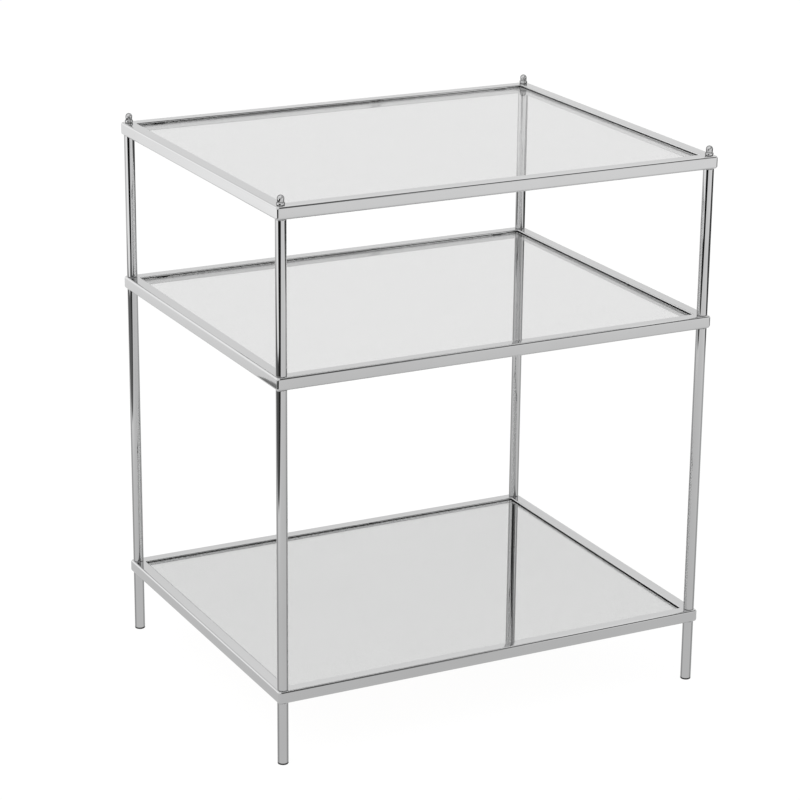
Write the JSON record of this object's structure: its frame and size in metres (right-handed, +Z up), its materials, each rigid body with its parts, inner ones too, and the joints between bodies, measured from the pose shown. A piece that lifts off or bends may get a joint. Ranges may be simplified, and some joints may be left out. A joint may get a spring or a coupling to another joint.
{
  "type": "tiered glass side table",
  "caption": "Tiered side table: polished chrome tube frames on slim round posts hold lift-out clear glass shelves and a mirrored bottom shelf, with small domed finials at the corners.",
  "frame": {"origin": "on the floor, under the middle of the table", "axes": "+Z up, +X along the wide side towards the right, +Y along the narrow side towards the back"},
  "size_m": [0.559, 0.452, 0.6685],
  "materials": {
    "frame_chrome": "polished chrome plate on steel square tube",
    "post_chrome": "polished chrome plate on steel round tube",
    "finial_chrome": "polished chrome plate on turned steel",
    "stud_zinc": "bright zinc plate on threaded steel rod",
    "shelf_glass": "clear polished float glass with ground edges",
    "mirror_glass": "silvered float glass with ground edges",
    "backing_board": "brown hardboard, smooth below and glued above",
    "bumper_vinyl": "clear soft vinyl",
    "glide_plastic": "black moulded plastic"
  },
  "bodies": {
    "table_frame": {"bottom_frame": "frame_chrome", "middle_frame": "frame_chrome", "top_frame": "frame_chrome", "foot_glide_front_left": "glide_plastic", "foot_glide_front_right": "glide_plastic", "foot_glide_back_left": "glide_plastic", "foot_glide_back_right": "glide_plastic", "leg_front_left": "post_chrome", "leg_front_right": "post_chrome", "leg_back_left": "post_chrome", "leg_back_right": "post_chrome", "lower_post_front_left": "post_chrome", "lower_post_front_right": "post_chrome", "lower_post_back_left": "post_chrome", "lower_post_back_right": "post_chrome", "upper_post_front_left": "post_chrome", "upper_post_front_right": "post_chrome", "upper_post_back_left": "post_chrome", "upper_post_back_right": "post_chrome", "bottom_stud_front_left": "stud_zinc", "bottom_stud_front_right": "stud_zinc", "bottom_stud_back_left": "stud_zinc", "bottom_stud_back_right": "stud_zinc", "middle_stud_front_left": "stud_zinc", "middle_stud_front_right": "stud_zinc", "middle_stud_back_left": "stud_zinc", "middle_stud_back_right": "stud_zinc", "finial_front_left": "finial_chrome", "finial_front_right": "finial_chrome", "finial_back_left": "finial_chrome", "finial_back_right": "finial_chrome", "bottom_bumper_front_left": "bumper_vinyl", "bottom_bumper_front_right": "bumper_vinyl", "bottom_bumper_back_left": "bumper_vinyl", "bottom_bumper_back_right": "bumper_vinyl", "middle_bumper_front_left": "bumper_vinyl", "middle_bumper_front_right": "bumper_vinyl", "middle_bumper_back_left": "bumper_vinyl", "middle_bumper_back_right": "bumper_vinyl", "top_bumper_front_left": "bumper_vinyl", "top_bumper_front_right": "bumper_vinyl", "top_bumper_back_left": "bumper_vinyl", "top_bumper_back_right": "bumper_vinyl"},
    "top_shelf": {"top_glass": "shelf_glass"},
    "middle_shelf": {"middle_glass": "shelf_glass"},
    "bottom_shelf": {"mirror_backing_board": "backing_board", "bottom_mirror": "mirror_glass"}
  },
  "joints": [
    {"name": "top_shelf_lift", "type": "slide", "parent": "table_frame", "child": "top_shelf", "axis": [0, 0, 1], "range_m": [0, 0.12]},
    {"name": "middle_shelf_lift", "type": "slide", "parent": "table_frame", "child": "middle_shelf", "axis": [0, 0, 1], "range_m": [0, 0.15]},
    {"name": "bottom_shelf_lift", "type": "slide", "parent": "table_frame", "child": "bottom_shelf", "axis": [0, 0, 1], "range_m": [0, 0.3]}
  ]
}
